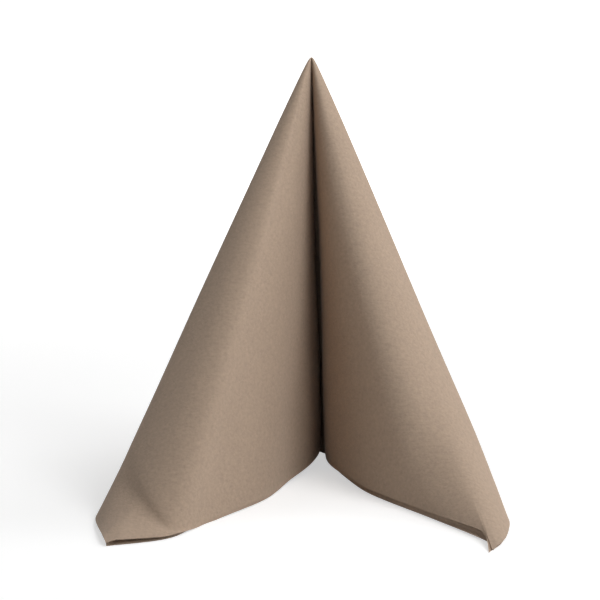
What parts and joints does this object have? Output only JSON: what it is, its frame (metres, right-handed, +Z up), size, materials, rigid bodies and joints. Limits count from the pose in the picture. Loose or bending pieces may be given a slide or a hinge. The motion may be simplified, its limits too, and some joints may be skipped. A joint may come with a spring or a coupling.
{
  "type": "folded paper napkin",
  "caption": "Square two-ply paper napkin folded into a standing pointed tent with two open wings and a central groove.",
  "frame": {"origin": "middle of the bounding box, at the table the napkin stands on", "axes": "+X towards the right wing, +Y towards the back fold, +Z up to the tip; the open valley between the wings faces -Y"},
  "size_m": [0.1886, 0.177, 0.1993],
  "materials": {
    "paper": "matt, fine soft fibre grain"
  },
  "bodies": {
    "root": {"napkin": "paper"}
  },
  "joints": []
}
